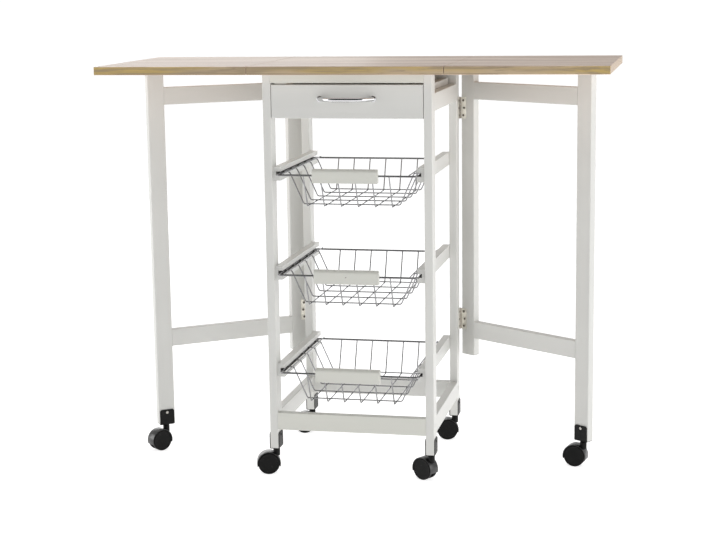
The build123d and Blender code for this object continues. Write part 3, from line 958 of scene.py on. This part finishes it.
@dataclass
class WireBasket:
    """Welded basket: thick rim, two thin side wires on it, five cross wires and six long wires."""

    level: Level
    rim_wire: float = 3.5 * MM
    thin_wire: float = 2.4 * MM
    rim_corner: float = 9.0 * MM
    rim_reach: float = 127.6 * MM
    shoulder: float = 114 * MM
    floor_width: float = 177 * MM
    front_lean: float = 30 * MM
    back_lean: float = 26 * MM
    weld: float = 0.5 * MM
    bend: float = 4.5 * MM
    cross_wires: int = 5
    cross_pitch: float = 53.75 * MM
    cross_shift: float = 9.5 * MM
    long_wires: int = 6
    long_pitch: float = 31 * MM
    drop: float = 57 * MM
    dot: Screw = Screw(radius=1.5 * MM, rise=0.5 * MM)

    def wire(self, corners: object, flat: Array) -> Skin:
        """Thin round wire bent at its corners, in the plane square to flat."""
        return tube(rounded(corners, self.bend, steps=7), self.thin_wire / 2, flat, sides=12)

    def skins(self) -> tuple[Skin, list[Skin]]:
        """Wires as round tubes with true bends, hung from the basket node's box.

        Returns:
            The rim's skin, and one skin for each thinner wire.
        """
        low, high = box(f"{self.level.value}_basket")
        front, back = low[1] + self.rim_wire / 2, high[1] - self.rim_wire / 2
        rim_x, rim_z, shoulder = self.rim_reach, rim_height(self.level), self.shoulder
        corners = [(-rim_x, front, rim_z), (rim_x, front, rim_z), (rim_x, back, rim_z), (-rim_x, back, rim_z)]
        path = rounded(corners, self.rim_corner, steps=9, closed=True)
        rim = tube(path, self.rim_wire / 2, UP, sides=18, closed=True)
        across_z = rim_z + (self.rim_wire - self.thin_wire) / 2
        side_z = across_z + self.thin_wire - self.weld
        cross_z = rim_z - self.drop
        floor_z = cross_z - self.thin_wire + self.weld
        made = []
        for x in (-shoulder, shoulder):
            ends = (x, front - self.rim_wire / 2, side_z), (x, back + self.rim_wire / 2, side_z)
            made.append(tube(np.linspace(*ends, 4), self.thin_wire / 2, ACROSS, sides=12))
        slope = (rim_x - self.weld, across_z), (shoulder, across_z), (self.floor_width / 2, cross_z)
        middle = (front + back) / 2 + self.cross_shift
        for row in range(self.cross_wires):
            y = middle + (row - (self.cross_wires - 1) / 2) * self.cross_pitch
            corners = [(-x, y, z) for x, z in slope] + [(x, y, z) for x, z in slope[::-1]]
            made.append(self.wire(corners, DEEP))
        hang = (self.rim_wire - self.thin_wire) / 2 + self.weld
        front, back, top = front + hang, back - hang, rim_z - hang / 2
        for column in range(self.long_wires):
            x = (column - (self.long_wires - 1) / 2) * self.long_pitch
            made.append(self.wire([(x, front, top), (x, front + self.front_lean, floor_z),
                                   (x, back - self.back_lean, floor_z), (x, back, top)], ACROSS))
        return rim, made

    def dress(self) -> None:
        """Makes the wires and dresses the grip board, whose one visible screw is in the middle basket."""
        name, body = f"{self.level.value}_basket", f"{self.level.value} basket"
        rim, wires = self.skins()
        piece(f"{name}_wires", wires, Look.WIRE, body, (name,))
        piece(f"{name}_rim", [rim], Look.RIM_WIRE, body)
        clothe(Look.PAINT_FRONT, f"{name}_handle_board")
        if self.level is Level.MIDDLE:
            low, high = box(f"{name}_handle_board")
            seat = np.array(((low[0] + high[0]) / 2, low[1], (low[2] + high[2]) / 2))
            piece("board_screw", [self.dot.skin(seat, -DEEP, 0.4)], Look.SCREW, body)


@dataclass
class Gate:
    """Swinging gate with its two butt hinges."""

    side: Side
    hinge_height: float = 41 * MM
    screw: Screw = Screw(radius=2.3 * MM, rise=0.6 * MM)

    def halves(self, on_gate: bool) -> list[HingeHalf]:
        """This gate's two hinges, the half on the gate or the half on the rear leg's outer face.

        Args:
            on_gate: True for the halves that swing.

        Returns:
            The lower and the upper half.
        """
        low, high = box(f"{self.side.word}_gate_hinge_halves")
        pin, hand = pivot(f"{self.side.word} gate hinge") * (1, 1, 0), self.side.value
        if on_gate:
            turn = gate_turn(self.side)
            along, rows = np.array((cos(turn), sin(turn), 0.0)), (1,)
            behind = np.array((-along[1], along[0], 0.0)) * hand
        else:
            along, behind, rows = -DEEP, -hand * ACROSS, (0, 2)
        feet = (pin + UP * low[2], pin + UP * (high[2] - self.hinge_height))
        return [HingeHalf(foot, UP, along, behind, rows, self.hinge_height) for foot in feet]

    def dress(self) -> None:
        """Dresses the gate's wood and saddle, and makes the swinging halves of its hinges."""
        hand = self.side.word
        clothe(Look.PAINT_UPRIGHT, f"{hand}_gate_stile", f"{hand}_gate_leg")
        clothe(Look[f"PAINT_{self.side.name}_GATE"], f"{hand}_gate_upper_rail", f"{hand}_gate_lower_rail")
        clothe(Look.BLACK_STEEL, f"{hand}_gate_saddle")
        node = f"{hand}_gate_hinge_halves"
        hang_hinges(f"{hand}_gate_hinge", self.halves(True), f"{hand} gate", node, self.screw)


@dataclass
class Saddles:
    """Black U brackets below the legs, one screw through each plate."""

    post: float = 15 * MM
    plate: float = 1.6 * MM
    screw_rise: float = 23 * MM
    screw: Screw = Screw(radius=2.7 * MM, rise=1.1 * MM)

    def dress(self) -> None:
        """Dresses the legs' saddles and drives the screws of all six."""
        clothe(Look.BLACK_STEEL, "leg_saddles")
        feet = [f"{end} {side.word} caster swivel" for end in ("front", "rear") for side in Side]
        skins = [skin for foot in feet for skin in self.pair(foot, ACROSS)]
        piece("leg_saddle_screws", skins, Look.BLACK_STEEL, "frame")
        for side in Side:
            square = np.array((-sin(gate_turn(side)), cos(gate_turn(side)), 0.0))
            skins = self.pair(f"{side.word} gate caster swivel", square)
            piece(f"{side.word}_gate_saddle_screws", skins, Look.SCREW, f"{side.word} gate")

    def pair(self, foot: str, across: Array) -> list[Skin]:
        """The two screws of one saddle, on either side of the stem.

        Args:
            foot: The joint that the stem below the saddle turns in.
            across: Unit vector square to the saddle's plates.

        Returns:
            One skin for each screw.
        """
        stem = pivot(foot) + UP * self.screw_rise
        reach = self.post / 2 + self.plate
        return [self.screw.skin(stem + way * reach * across, way * across, 0.7 * way) for way in (1.0, -1.0)]


@dataclass
class Caster:
    """Twin-wheel caster: hood with a middle web, tapered neck and stem, and two wheels on one axle."""

    name: str
    radius: float = 20 * MM
    wheel_width: float = 7.2 * MM
    edge: float = 1.6 * MM
    ease: float = 0.6 * MM
    web: float = 6.4 * MM
    gap: float = 0.4 * MM
    well: float = 20.6 * MM
    hood: float = 22.0 * MM
    overlap: float = 0.4 * MM
    skirt: float = 6.0 * MM
    neck: float = 6.3 * MM
    neck_top: float = 4.6 * MM
    neck_foot: float = 14 * MM
    taper: float = 3.5 * MM
    stem: float = 4.0 * MM
    stem_length: float = 34 * MM
    saddle: float = 1.6 * MM
    swivel_gap: float = 0.3 * MM
    axle: float = 2.5 * MM
    axle_end: float = 1 * MM

    def axes(self) -> tuple[Array, Array, Array, Array]:
        """Reads the caster's lines from its joints.

        Returns:
            The stem's foot, the axle's middle, the level way from stem to axle, and the axle's direction.
        """
        stem, hub = pivot(f"{self.name} caster swivel"), pivot(f"{self.name} wheel roll")
        forward = unit((hub - stem) * (1, 1, 0))
        return stem, hub, forward, np.cross(forward, UP)

    def wheel_skins(self) -> list[Skin]:
        """Two wheels, each turned from its tread, rounded edges, shallow dish and hub, and the axle.

        Returns:
            The skins of the wheels and the axle.
        """
        _, hub, _, across = self.axes()
        r, edge, inner = self.radius, self.edge, self.web / 2 + self.gap
        outer, end = inner + self.wheel_width, inner + self.axle_end
        arc = np.linspace(0, np.pi / 2, 7)
        rim = np.stack([r - edge + edge * np.cos(arc), outer - edge + edge * np.sin(arc)], -1)
        dish = [(r * 0.86, outer), (r * 0.84, outer - 0.35 * MM), (r * 0.80, outer - 0.45 * MM),
                (r * 0.40, outer - 0.25 * MM), (r * 0.10, outer - 0.2 * MM)]
        back = [(self.axle, inner), (r - self.ease, inner), (r, inner + self.ease)]
        profile = np.vstack([back, rim, dish])
        skins = [turned(profile, hub, way * across, sides=72) for way in (1.0, -1.0)]
        return skins + [turned([(self.axle, -end), (self.axle, end)], hub, across, sides=24)]

    def hood_skins(self) -> list[Skin]:
        """Hood as a rounded section carried round the wheels, and the web below it.

        Returns:
            The skins of the hood and the web.
        """
        _, hub, forward, across = self.axes()
        half = self.web / 2 + self.gap + self.wheel_width
        low = np.arcsin(self.skirt / self.hood)
        sides = (self.well, -half, 0), (self.hood, -half, 0), (self.hood, half, 0), (self.well, half, 0)
        section = rounded(sides, self.ease, steps=4, closed=True)[:, :2]
        hood = arched(section, hub, forward, across, np.linspace(-low, np.pi + low, 57))
        web = (self.well + self.overlap) * spokes(forward, UP, np.linspace(-low, np.pi + low, 49))
        return [hood, slab(hub - across * self.web / 2 + web, across * self.web)]

    def neck_skin(self) -> Skin:
        """Tapered neck and stem, turned about the swivel's line.

        Returns:
            Their skin.
        """
        stem, hub, _, _ = self.axes()
        top = stem[2] - self.saddle - self.swivel_gap
        ease = 0.2 * MM
        profile = [(self.neck, hub[2] + self.neck_foot), (self.neck, top - self.taper),
                   (self.neck * 0.97, top - self.taper + 0.5 * MM), (self.neck_top + ease, top - 0.3 * MM),
                   (self.neck_top - ease, top), (self.stem, top), (self.stem, stem[2] + self.stem_length)]
        return turned(profile, stem * (1, 1, 0), UP, sides=32)

    def dress(self) -> None:
        """Makes the hood, the neck and the wheels in place of the plain nodes."""
        node, body = self.name.replace(" ", "_"), f"{self.name} caster"
        hood, wheels = (f"{node}_caster_housing",), (f"{node}_caster_wheels",)
        piece(f"{node}_hood", self.hood_skins(), Look.HOOD, body, hood, crease=45.0)
        piece(f"{node}_neck", [self.neck_skin()], Look.BLACK_STEEL, body, crease=45.0)
        body = f"{self.name} wheels"
        piece(f"{node}_twin_wheels", self.wheel_skins(), Look.WHEEL, body, wheels, crease=45.0)


# The studio


@dataclass(frozen=True)
class Lamp:
    """Rectangular soft light, itself out of the camera's sight."""

    name: str
    place: Triple
    width: float
    height: float
    power: float
    mirrored: bool = True
    target: Triple = (0.0, 0.0, 0.4)

    def hang(self) -> None:
        """Puts the lamp in the scene, facing its target."""
        data = bpy.data.lights.new(self.name, "AREA")
        data.shape = "RECTANGLE"
        data.size, data.size_y, data.energy = self.width, self.height, self.power
        lamp = placed(self.name, data)
        lamp.visible_camera = False
        lamp.visible_glossy = self.mirrored
        lamp.location = self.place
        lamp.rotation_euler = (Vector(self.target) - Vector(self.place)).to_track_quat("-Z", "Y").to_euler()


@dataclass(frozen=True)
class Studio:
    """Pale floor, white surroundings, soft lamps, and the photograph's camera.

    A lobe is the direction that it faces, and the cosines at which it starts and is full.
    """

    place: Triple = (0.62731, -2.97785, 0.89982)
    yaw: float = 12.22093400638164
    pitch: float = 10.068572803786616
    roll: float = -0.8013369571542512
    focal_pixels: float = 1641.389642772989
    picture_width: int = 716
    sensor_width: float = 36.0
    floor_reach: float = 14.0
    floor_cells: int = 8
    floor_tone: float = 0.80
    floor_glow: float = 0.68
    floor_white: float = 0.74
    seen_white: float = 1.05
    ambient: float = 0.56
    front_fall: float = 0.75
    glossy_level: float = 0.66
    glossy_front: float = 0.04
    back_lobe: tuple[Triple, float, float] = ((-0.50, 0.86, 0.08), 0.88, 0.985)
    front_lobe: tuple[Triple, float, float] = ((0.10, -0.88, 0.46), 0.40, 0.86)
    lamps: tuple[Lamp, ...] = (
        Lamp("right soft light", (3.1, -0.9, 0.85), 2.6, 1.5, 32.0),
        Lamp("left soft light", (-3.1, -0.7, 0.85), 2.6, 1.5, 34.0),
        Lamp("front right soft light", (1.6, -3.3, 0.95), 2.0, 1.5, 9.0, mirrored=False),
        Lamp("back left soft light", (-1.75, 3.3, 1.05), 2.2, 1.5, 11.0),
        Lamp("overhead soft light", (0.2, 0.4, 3.2), 2.6, 2.6, 14.0),
    )

    def camera(self) -> None:
        """Stands the camera by its yaw, pitch and roll."""
        data = bpy.data.cameras.new("camera")
        data.sensor_width = self.sensor_width
        data.lens = self.focal_pixels * self.sensor_width / self.picture_width
        yaw, pitch, roll = radians(self.yaw), radians(self.pitch), radians(self.roll)
        ahead = Vector((-sin(yaw) * cos(pitch), cos(yaw) * cos(pitch), -sin(pitch)))
        right = Vector((cos(yaw), sin(yaw), 0.0))
        upward = right.cross(ahead)
        across, rise = right * cos(roll) + upward * sin(roll), upward * cos(roll) - right * sin(roll)
        turn = Matrix((across, rise, -ahead)).transposed().to_4x4()
        camera = placed("camera", data)
        camera.matrix_world = Matrix.Translation(Vector(self.place)) @ turn
        bpy.context.scene.camera = camera

    def surroundings(self) -> None:
        """World: white to the camera, a plain ambient level, and in reflections a studio with a dark front.

        The reflected level is glossy_level, rising to white in the back lobe and falling to glossy_front in
        the front lobe, and the ambient level falls there too.
        """
        world = bpy.data.worlds.new("studio")
        bpy.context.scene.world = world
        world.use_nodes = True
        s = Shader(world.node_tree)
        path = s.node("LightPath").outputs
        way = s.node("TexCoord").outputs["Generated"]
        lobes = (self.back_lobe, self.front_lobe)
        back, front = (s.ramp(s.dot(way, aim), low, high) for aim, low, high in lobes)
        glossy = s.maths("MULTIPLY_ADD", back, 1.0 - self.glossy_level, self.glossy_level)
        glossy = s.maths("MULTIPLY_ADD", front, self.glossy_front - self.glossy_level, glossy)
        even = s.maths("MULTIPLY_ADD", front, -self.front_fall * self.ambient, self.ambient)
        strength = s.maths("MULTIPLY_ADD", s.bounced(path), s.maths("SUBTRACT", glossy, even), even)
        strength = s.maths("MAXIMUM", strength, s.times(path["Is Camera Ray"], self.seen_white))
        s.feed(s.tree.nodes["Background"], Color=(1.0, 1.0, 1.0), Strength=strength)

    def floor(self) -> None:
        """Pale floor that takes the shadow and reads as white elsewhere: an even grid of square cells."""
        cells = np.arange(self.floor_cells)
        row = self.floor_cells + 1
        share = np.linspace(-1, 1, row) * self.floor_reach
        x, y = np.meshgrid(share, share, indexing="ij")
        start = (cells[:, None] * row + cells).reshape(-1)
        mesh = bpy.data.meshes.new("floor")
        mesh.from_pydata(np.stack([x, y, 0 * x], -1).reshape(-1, 3), [],
                         np.stack([start, start + row, start + row + 1, start + 1], -1).tolist())
        s = Coat("pale floor", Base_Color=(self.floor_tone,) * 3, Roughness=0.9, Specular_IOR_Level=0.0,
                 Emission_Color=(1.0, 1.0, 1.0))
        path = s.node("LightPath").outputs
        seen = s.maths("MAXIMUM", path["Is Camera Ray"], s.bounced(path))
        glow = s.maths("MULTIPLY_ADD", seen, self.floor_white - self.floor_glow, self.floor_glow)
        s.feed(s.principled, Emission_Strength=glow)
        mesh.materials.append(s.material)
        floor = placed("floor", mesh)

    def build(self) -> None:
        """Sets up the whole studio."""
        bpy.context.scene.view_settings.view_transform = "Standard"
        self.camera()
        self.surroundings()
        self.floor()
        for lamp in self.lamps:
            lamp.hang()
        LOG.info("studio with %d lamps", len(self.lamps))


def main() -> None:
    """Builds and dresses every sub-assembly in order, then sets up the studio."""
    logging.basicConfig(level=logging.INFO, format="%(name)s: %(message)s")
    gates = [Gate(side) for side in Side]
    Worktop().dress()
    Frame().dress()
    fixed = [half for gate in gates for half in gate.halves(False)]
    hang_hinges("leg_hinge", fixed, "frame", "leg_hinge_halves", gates[0].screw)
    Drawer().dress()
    for level in Level:
        WireBasket(level).dress()
    for gate in gates:
        gate.dress()
    Saddles().dress()
    for name in ("front left", "front right", "rear left", "rear right", "left gate", "right gate"):
        Caster(name).dress()
    Studio().build()


if __name__ == "__main__":
    main()
